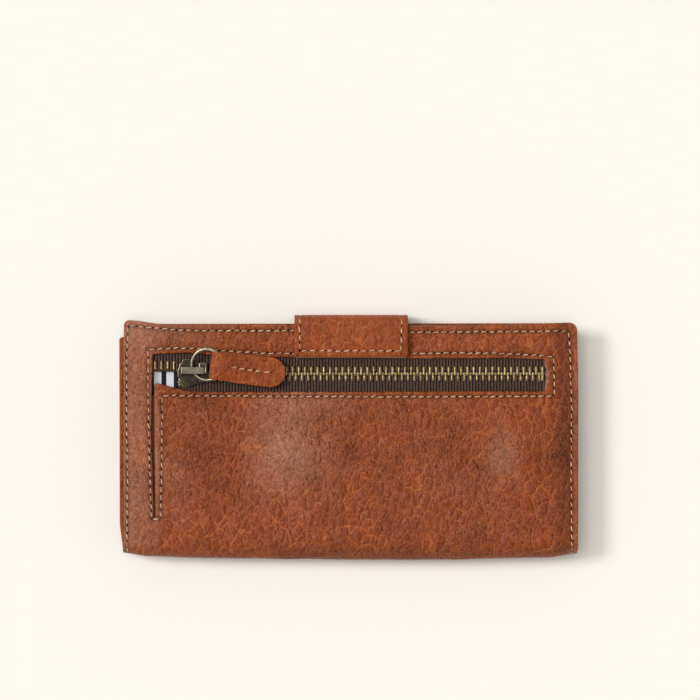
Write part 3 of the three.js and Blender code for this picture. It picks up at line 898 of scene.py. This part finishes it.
def makeBottomStop():
    # a small brass staple that closes both rows
    z = zipValues
    parts = []
    for side in (1, -1):
        base, faces = toothMesh(side)
        place = np.array([80.35, z["chainY"], z["toothFoot"]])
        parts.append((base * np.array([1.25, 1.0, 1.0]) + place, faces))
    points, faces = join(parts)
    makePiece("brass_bottom_stop", points, faces, toothBrass, "back_half",
              ["zip_bottom_stop"])


makeBottomStop()
print("zip made")


def slitFacing():
    # a strip of calf sewn behind the slit
    outline = loopFrom(roundedCorners(-86, -79.3, -37.5, 16.5, 1), 1.2)

    def top(x, y):
        return 0.1 * noiseAt(x, y, 6, 2.0)

    def place(x, y, h):
        return np.stack([x, y, 16.9 + h], -1)

    points, faces, _, _ = leatherSheet(outline, [], 2.0, 0.5, 0.2, top, place)
    makePiece("slit_facing", points, faces, calf, "back_half")


slitFacing()


def turnedEdge():
    # the cover's end tongue, turned under; its paleness is painted sheen over the whole crescent
    outline = loopFrom([(81.15, 17.6, 0.2), (81.5, 25, 16), (80.9, 32.1, 0.2), (83.9, 30.5, 1),
                        (84.6, 25, 12), (83.9, 19.0, 1)][::-1], 0.5)

    def top(x, y):
        return 0.55 * np.sin(np.clip((x - 81.0) / 3.2, 0, 1) * math.pi) + 0.04 * noiseAt(x, y, 2, 3)

    def place(x, y, h):
        return np.stack([x, y, 18.05 + h], -1)

    points, faces, _, _ = leatherSheet(outline, [], 0.5, 0.8, 0.35, top, place)
    piece = makePiece("turned_window_end", points, faces, cowhide, "back_half")
    # painted sheen over the whole crescent
    paint(piece, "paintedSheenShade", np.full(len(points), 0.95))


turnedEdge()


sliderValues = {"rim": 0.75, "recess": 0.28, "bevel": 0.22, "middleY": 25.9, "noseX": -71.5,
                "tailX": -59.1, "topPlate": (19.3, 20.5), "lowPlate": (15.9, 16.7),
                "barX": (-70.1, -60.2), "barTop": 23.35}


def prism(outline, z0, z1, rim=0, recess=0, bevel=0.2, segments=3):
    made = bmesh.new()
    low = [made.verts.new((x, y, z0)) for x, y in outline]
    high = [made.verts.new((x, y, z1)) for x, y in outline]
    made.faces.new(list(reversed(low)))
    made.faces.new(high)
    for i in range(len(low)):
        j = (i + 1) % len(low)
        made.faces.new((low[i], low[j], high[j], high[i]))
    bmesh.ops.bevel(made, geom=list(made.edges), offset=bevel, segments=segments, affect="EDGES",
                    profile=0.5, clamp_overlap=True)
    if rim:
        cap = max(made.faces, key=lambda f: f.calc_center_median().z * 1000 + f.calc_area())
        bmesh.ops.inset_region(made, faces=[cap], thickness=rim, depth=0)
        bmesh.ops.inset_region(made, faces=[cap], thickness=0.25, depth=-recess)
    made.verts.index_update()
    points = [tuple(v.co) for v in made.verts]
    faces = [tuple(v.index for v in f.verts) for f in made.faces]
    made.free()
    return points, faces


def rect(x0, x1, y0, y1):
    return [(x0, y0), (x1, y0), (x1, y1), (x0, y1)]


def makeSlider():
    s = sliderValues
    c = s["middleY"]
    half = [(s["noseX"], 1.3), (-69.2, 5.6), (-66.6, 5.6), (-62.4, 3.9), (s["tailX"], 3.7)]
    outline = [(x, c - y) for x, y in half] + [(x, c + y) for x, y in reversed(half)]
    # two plates and the wedge that parts the teeth, then the flanges down both sides
    parts = [prism(outline, *s["topPlate"], s["rim"], s["recess"], s["bevel"]),
             prism(outline, *s["lowPlate"], bevel=0.2),
             prism(rect(-70.6, -68.4, c - 0.9, c + 0.7), 16.6, 19.4, bevel=0.1)]
    for side in (-1, 1):
        y = sorted((c + side * 3.15, c + side * 3.75))
        parts.append(prism(rect(-65.4, -59.3, *y), 18.5, 19.5, bevel=0.1))
        parts.append(prism(rect(-65.4, -59.3, *y), 16.6, 17.4, bevel=0.1))
    points, faces = join(parts)
    body = makePiece("slider_plates", points, faces, sliderBronze, "slider",
                     ["slider_body"], flat=True)
    # the bridge over the ring: a bar, the leg at its nose and the block at its tail
    x0, x1 = s["barX"]
    parts = [prism(rect(x0, x1, 25.45, 28.3), s["barTop"] - 1.0, s["barTop"], bevel=0.42, segments=5),
             prism(rect(x0, x0 + 1.3, 25.5, 28.25), 20.4, 23.0, bevel=0.3),
             prism(rect(-62.6, s["tailX"], 25.6, 30.1), 20.4, 23.2, 0.55, 0.2, 0.28)]
    points, faces = join(parts)
    crown = makePiece("slider_crown_cast", points, faces, sliderBronze, "slider",
                      ["slider_crown"], flat=True)
    # the bar and the upper bevel edges get the brighter bronze: partly the antique finish worn back,
    # partly painted highlight
    for piece in (body, crown):
        piece.data.materials.append(rubbedBronze)
        for polygon in piece.data.polygons:
            x, y, z = (c / mm for c in polygon.center)
            edge = 0.1 < polygon.normal.z < 0.97 and polygon.area < 1.6 * mm * mm
            bar = abs(y - 26.9) < 1.45 and z > 22.6 and x < -62.6
            polygon.use_smooth = edge
            polygon.material_index = 1 if bar or edge and z > 19 else 0


makeSlider()


ringValues = {"eye": (-65.0, 26.8, 21.37), "heading": 24.2, "lean": 14, "radius": 6.45,
              "wire": 0.66, "rounds": 96, "sides": 18}


# a ring of bent wire, slightly uneven from drawing and bending
def makeRing():
    v = ringValues
    heading, lean = math.radians(v["heading"]), math.radians(v["lean"])
    radius, rounds, sides = v["radius"], v["rounds"], v["sides"]
    out = Vector((math.cos(heading), math.sin(heading), 0))
    axle = Vector((-out.y, out.x, 0))
    radial = out * math.cos(lean) + Vector((0, 0, math.sin(lean)))
    normal = radial.cross(axle)
    middle = Vector(v["eye"]) + radial * radius
    points, faces = [], []
    for i in range(rounds):
        a = 2 * math.pi * i / rounds
        arm = radial * math.cos(a) + axle * math.sin(a)
        for j in range(sides):
            b = 2 * math.pi * j / sides
            r = v["wire"] * (1 + 0.015 * math.sin(5 * a))
            points.append(middle + arm * (radius + r * math.cos(b)) + normal * r * math.sin(b))
    for i in range(rounds):
        for j in range(sides):
            k, m = (i + 1) % rounds, (j + 1) % sides
            faces.append((i * sides + j, k * sides + j, k * sides + m, i * sides + m))
    makePiece("wire_ring", points, faces, rubbedBronze, "pull_ring", ["pull_ring"])


makeRing()

pullerValues = {"fold": (-57.85, 29.25, 24.38), "roll": 5, "pitch": 5.4, "yaw": -7.1,
                "length": 31.5, "halfWidth": 6.25, "neck": 5.75, "thickness": 0.98}
pullerTurn = (Matrix.Rotation(math.radians(pullerValues["yaw"]), 3, "Z")
              @ Matrix.Rotation(math.radians(pullerValues["pitch"]), 3, "Y")
              @ Matrix.Rotation(math.radians(pullerValues["roll"]), 3, "X"))


def pullerPlace(s, t, w):
    p = pullerTurn @ Vector((float(s), float(t), float(w))) + Vector(pullerValues["fold"])
    return np.array(p)


def pullerSpan(s):
    # half the width at distance s from the fold
    v = pullerValues
    w = v["neck"] + (v["halfWidth"] - v["neck"]) * float(smooth(4, 12, s))
    tip = v["length"] - v["halfWidth"]
    if s > tip:
        w *= math.sqrt(max(0.0, 1 - ((s - tip) / v["halfWidth"]) ** 2))
    return w


def pullerProfile():
    # the middle line of the folded strip, from the upper layer's free end round to the lower's
    upper = [(pullerValues["length"], 0.5), (24, 0.5), (16, 0.5), (11, 0.55), (9, 0.75),
             (7.5, 1.2), (6, 1.62), (4.5, 1.78), (3, 1.76), (1.8, 1.5), (0.9, 0.95), (0.5, 0.0)]
    lower = [(s, -w) for s, w in reversed(upper[:-1])]
    return upper + lower


def resample(path, step):
    path = [np.array(p, float) for p in path]
    out = []
    for i in range(len(path) - 1):
        p0, p1, p2, p3 = (path[max(i - 1, 0)], path[i], path[i + 1], path[min(i + 2, len(path) - 1)])
        count = max(2, int(np.linalg.norm(p2 - p1) / step))
        for k in range(count):
            t = k / count
            out.append(0.5 * (2 * p1 + (p2 - p0) * t + (2 * p0 - 5 * p1 + 4 * p2 - p3) * t * t
                              + (3 * p1 - p0 - 3 * p2 + p3) * t ** 3))
    out.append(path[-1])
    return out


def ribbon(path, span, thick, wave, across=22, mid=0.0):
    # a strap swept along (a, b) points; span(i, point) gives [low, high] across it
    points, faces = [], []
    loopSize = 2 * across + 2
    for i, p in enumerate(path):
        q, r = path[max(i - 1, 0)], path[min(i + 1, len(path) - 1)]
        d = (r - q) / (np.linalg.norm(r - q) + 1e-12)
        normal = np.array([-d[1], d[0]])
        low, high = span(i, p)
        for k in range(loopSize):
            topSide = k <= across
            u = k / across if topSide else (loopSize - 1 - k) / across
            u = 0.5 - 0.5 * math.cos(math.pi * u) if across > 6 else u
            c = low + (high - low) * u
            near = min(c - low, high - c)
            edge = thick * 0.45
            fall = edge - math.sqrt(max(edge ** 2 - (edge - near) ** 2, 0)) if near < edge else 0
            h = (thick / 2 - fall) * (1 if topSide else -1)
            if i in (0, len(path) - 1):
                h *= 0.45  # the cut ends are rounded over
            at = p + normal * (mid + h + wave(p, c))
            points.append((at[0], c, at[1]))
    for i in range(len(path) - 1):
        for k in range(loopSize):
            m = (k + 1) % loopSize
            faces.append((i * loopSize + k, i * loopSize + m, (i + 1) * loopSize + m,
                          (i + 1) * loopSize + k))
    faces.append(tuple(range(loopSize)))
    faces.append(tuple(reversed([(len(path) - 1) * loopSize + k for k in range(loopSize)])))
    return np.array(points), faces


def makePuller():
    path = resample(pullerProfile(), 0.5)

    def span(i, p):
        w = max(pullerSpan(p[0]), 0.15)
        return -w, w

    def wave(p, c):
        seam = 0.16 * math.exp(-(c / 0.7) ** 2) * (7.5 < p[0] < 26)
        dent = 0.45 * math.exp(-((p[0] - 8.3) / 1.6) ** 2 - ((c - 2.2) / 1.5) ** 2) * (p[1] > 0)
        uneven = 0.10 * noise.noise(Vector((p[0] / 5, c / 4, 3.0)))
        return uneven - dent - (seam if p[1] > 0 else -seam)

    local, faces = ribbon(path, span, pullerValues["thickness"], wave)
    points = [pullerPlace(s, c, w) for s, c, w in local]
    makePiece("leather_puller", points, faces, smoothCowhide, "puller",
              ["puller_leather"])

    def surface(s, t):
        w = float(np.interp(s, [7.5, 9, 11, 16], [1.69, 1.24, 1.04, 0.99]))
        return pullerPlace(s, t, w + 0.04)

    sew("puller_seam", [[(8.0, 0.1), (25.3, 0.0)]], surface, "puller",
        values={"pitch": 3.45, "width": 0.62})


makePuller()
print("slider, ring and puller made")


strapValues = {"x": (-22.9, 24.3), "outer": 0.95, "lining": 0.6, "liningDepth": 0.85,
               "liningTrim": 0.4, "split": 12.0, "step": 0.55}
strapPath = [(38, 2.3), (43, 2.3), (46.6, 2.35), (48.6, 2.9), (49.5, 4.6), (49.6, 8), (49.6, 12),
             (49.6, 16), (49.5, 19.3), (48.9, 21.6), (47.2, 22.7), (44.5, 22.95), (41, 22.85),
             (37, 22.6), (34.2, 22.15), (32.75, 21.75)]


def tabCurl(x, y):
    # the tab's free end waves a little across its width
    return 0.35 * float(smooth(38, 33, y)) * math.cos((-x - 2) / 13)


def strapPiece(name, low, thick, material, slot, nodes, offset=0.0, trim=0.0):
    whole = resample(strapPath + ([(31.8, 21.35)] if trim else []), strapValues["step"])
    if low:
        path = [p for p in whole if p[0] > 37 and p[1] <= strapValues["split"] + 0.2]
    else:
        path = [p for p in whole if p[1] >= strapValues["split"] - 0.2]
    x0, x1 = strapValues["x"]

    def span(i, p):
        return -x1 + trim, -x0 - trim

    def wave(p, c):
        h = 0.07 * noise.noise(Vector((p[0] / 7, c / 7, p[1] / 7)))
        if not trim:
            for line in (-x0 - 2.4, -x1 + 2.6):
                h -= 0.18 * math.exp(-((c - line) / 0.7) ** 2)
            if p[1] > 18 and p[0] < 40:
                h -= 0.18 * math.exp(-((p[0] - 35.2) / 0.7) ** 2)
                h += tabCurl(-c, p[0])
        return -h

    points, faces = ribbon(path, span, thick, wave, mid=offset)
    points = [(-c, y, z) for y, c, z in points]
    piece = makePiece(name, points, faces, material, None, nodes)
    bendAt(piece, "strap" if low else "tab")


hideThick, calfThick = strapValues["outer"], strapValues["lining"]
calfPlace = strapValues["liningDepth"], strapValues["liningTrim"]
strapPiece("strap_hide_lower", True, hideThick, smoothCowhide, "cover_leather",
           ["strap_anchor", "strap_outer_leather"])
strapPiece("strap_hide_upper", False, hideThick, smoothCowhide, "cover_leather",
           ["tab_outer_leather"])
strapPiece("strap_calf_lower", True, calfThick, calf, "inner_leather", ["strap_lining"], *calfPlace)
strapPiece("strap_calf_upper", False, calfThick, oliveCalf, "inner_leather", ["tab_lining"],
           *calfPlace)
tabTop = [p for p in resample(strapPath, strapValues["step"]) if p[1] > 19][::-1]


def tabSurface(x, y):
    z = float(np.interp(y, [p[0] for p in tabTop], [p[1] for p in tabTop]))
    return np.array([x, y, z + hideThick / 2 - 0.12 + tabCurl(x, y)])


x0, x1 = strapValues["x"]
sew("tab_seam", [[(x0 + 2.4, 49.2), (x0 + 2.1, 35.0)], [(x0 + 2.4, 35.2), (x1 - 2.7, 35.0)],
                 [(x1 - 2.7, 49.2), (x1 - 2.9, 34.0)]],
    tabSurface, None, "tab", {"pitch": 3.5, "holeRadius": 0.34, "width": 0.56})
print("strap made")


def softPlate(node, name, body, material, grow=(0, 0, 0, 0), radius=2.0, wave=0.04,
              liftEdge=0.0, crease=None):
    # a flat layer with rounded corners that fills its place in the frame
    low, high = (np.array(c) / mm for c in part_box(node))
    x0, x1, y0, y1 = low[0] - grow[0], high[0] + grow[1], low[1] - grow[2], high[1] + grow[3]
    thick = high[2] - low[2]
    outline = loopFrom(roundedCorners(x0, x1, y0, y1, radius), 1.2)
    seed = float(low[2])

    def top(x, y):
        h = wave * noiseAt(x, y, 11, seed)
        if liftEdge:
            near = np.minimum(np.minimum(x - x0, x1 - x), y1 - y)
            h = h + liftEdge * smooth(4.0, 0.5, near)
        if crease:
            h = h - 0.18 * np.exp(-((y - y0 - crease) / 0.45) ** 2) * (thick > 0.5)
        return h

    def place(x, y, h):
        return np.stack([x, y, high[2] + h], -1)

    edge = min(0.3, thick * 0.45)
    points, faces, _, _ = leatherSheet(outline, [], 3.0, thick, edge, top, place)
    makePiece(name, points, faces, material, body, [node])


softPlate("front_board", "front_stiffener", "front_half", fibreBoard)
softPlate("back_board", "back_stiffener", "back_half", fibreBoard)
softPlate("front_lining", "front_inside_cloth", "front_half", twill,
          grow=(1.2, 1.2, 0, 0), radius=3)
softPlate("back_lining", "back_inside_cloth", "back_half", twill,
          grow=(1.2, 1.2, 0, 0), radius=3, liftEdge=2.2)
softPlate("front_bill_panel", "front_note_wall", "front_half", calf, crease=2.0)
softPlate("back_bill_panel", "back_note_wall", "back_half", calf, crease=2.0)
softPlate("pocket_lining_back", "pocket_cloth_back", "back_half", stripedCotton,
          grow=(0, 0, -4, 0), wave=0.25)
softPlate("pocket_lining_front", "pocket_cloth_front", "back_half", stripedCotton,
          grow=(0, 0, -4, 0))


def sewSlot(node, body, facing, whole):
    # rows of thread down both sides of the part of a card slot that shows
    low, high = (np.array(c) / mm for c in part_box(node))
    level = high[2] if facing > 0 else low[2]

    def surface(x, y):
        return np.array([x, y, level + 0.05 * facing])

    stop = high[1] - 2.0 if whole else low[1] + 11.4
    lines = [[(x, low[1] + 1.2), (x, stop)] for x in (low[0] + 2.0, high[0] - 2.0)]
    if whole:
        lines.append([(low[0] + 2.0, stop), (high[0] - 2.0, stop)])
    sew(node + "_seam", lines, surface, body,
        values={"pitch": 3.0, "length": 2.2, "width": 0.45, "holeRadius": 0.3})


# card slots step up towards the opening, and only the last one shows its whole height
for half, count, facing in (("front", 4, 1), ("back", 2, -1)):
    for side in ("left", "right"):
        starts = [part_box(f"{half}_slot_{side}_{i}")[0][1] for i in range(1, count + 1)]
        for i, start in enumerate(starts, 1):
            node, body = f"{half}_slot_{side}_{i}", f"{half}_half"
            softPlate(node, f"{half}_card_slot_{side}_{i}", body, calf,
                      radius=1.6, wave=0.03, crease=1.6)
            sewSlot(node, body, facing, start == max(starts))

low, high = (np.array(c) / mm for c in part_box("spine_lining"))
shape = [(-45.4, low[2] + 0.3), (-46.6, low[2] + 0.9), (-47.6, 5.2), (-47.75, 10), (-47.6, 14.8),
         (-46.6, high[2] - 0.9), (-45.4, high[2] - 0.3)]


points, faces = ribbon(resample(shape, 0.8), lambda i, p: (-91.0, 91.0), 0.6, lambda p, c: 0.0, 8)
makePiece("spine_cloth", [(c, y, z) for y, c, z in points], faces, twill, "spine",
          ["spine_lining"])
for name in ("snap_stud", "snap_socket", "snap_backing"):
    materials = bpy.data.objects[name].data.materials
    materials.clear()
    materials.append(studBrass)
print("inside made")


# fill is the room's own light, and above, key and side are the lamps' shares of the floor's light
stageValues = {"floor": ("f7f3e8", "f9f5ea"), "fill": 0.36, "above": 0.35, "key": 0.10, "side": 0.33,
               "cameraHeight": 2.0, "topOfWallet": 0.02, "viewWidth": 0.2912,
               "lookAt": (0.0002, 0.0354), "sensor": 36}


# Backdrop paper: matt, with a faint fibre
def makeFloor():
    made, tree, shader, where = newMaterial("matt cream paper sweep")
    fibre = addNode(tree, "ShaderNodeTexNoise", {"Vector": where, "Scale": perMetre(3.333), "Detail": 3})
    pale, paler = (linear(c) for c in stageValues["floor"])
    colour = addNode(tree, "ShaderNodeMixRGB", {"Fac": fibre, "Color1": pale, "Color2": paler})
    plug(tree, shader, {"Base Color": colour, "Roughness": 1.0, "Specular IOR Level": 0.0})
    half = 3000
    points = [(-half, -half, 0), (half, -half, 0), (half, half, 0), (-half, half, 0)]
    makePiece("paper_floor", points, [(0, 1, 2, 3)], made)


makeFloor()

world = bpy.data.worlds.new("studio")
world.use_nodes = True
# the room is bright low down and dim straight above, like a tent with a dark roof
room = world.node_tree
direction = addNode(room, "ShaderNodeTexCoord").outputs["Generated"]
upward = addNode(room, "ShaderNodeSeparateXYZ", [direction]).outputs["Z"]
roof = addNode(room, "ShaderNodeValToRGB", {"Fac": upward},
               stops=[(0.0, 1.0), (0.62, 1.0), (0.86, 0.55), (1.0, 0.3)])
plug(room, room.nodes["Background"], {"Color": roof, "Strength": stageValues["fill"]})
bpy.context.scene.world = world


def studioLamp(name, tilt, turn, softness, share, glossy=False):
    # angles are in degrees, and a lamp that is not glossy leaves no highlight of its own
    data = bpy.data.lights.new(name, "SUN")
    data.angle = math.radians(softness)
    data.energy = share * math.pi / math.cos(math.radians(tilt))
    lamp = bpy.data.objects.new(name, data)
    leaning = Vector((math.sin(math.radians(tilt)), 0, math.cos(math.radians(tilt))))
    away = Matrix.Rotation(math.radians(turn), 3, "Z") @ leaning
    lamp.rotation_euler = (-away).to_track_quat("-Z", "Y").to_euler()
    lamp.location = away * 2
    lamp.visible_glossy = glossy
    bpy.context.collection.objects.link(lamp)


studioLamp("overhead scrim", 3, 140, 30, stageValues["above"])
studioLamp("key softbox", 20, 158, 14, stageValues["key"])
studioLamp("side softbox", 38, 164, 16, stageValues["side"], True)

cameraData = bpy.data.cameras.new("camera")
cameraData.sensor_width = stageValues["sensor"]
distance = stageValues["cameraHeight"] - stageValues["topOfWallet"]
cameraData.lens = stageValues["sensor"] * distance / stageValues["viewWidth"]
cameraData.clip_end = 10
camera = bpy.data.objects.new("camera", cameraData)
camera.location = (*stageValues["lookAt"], stageValues["cameraHeight"])
bpy.context.collection.objects.link(camera)
bpy.context.scene.camera = camera
bpy.context.scene.view_settings.view_transform = "Standard"
print("stage set")
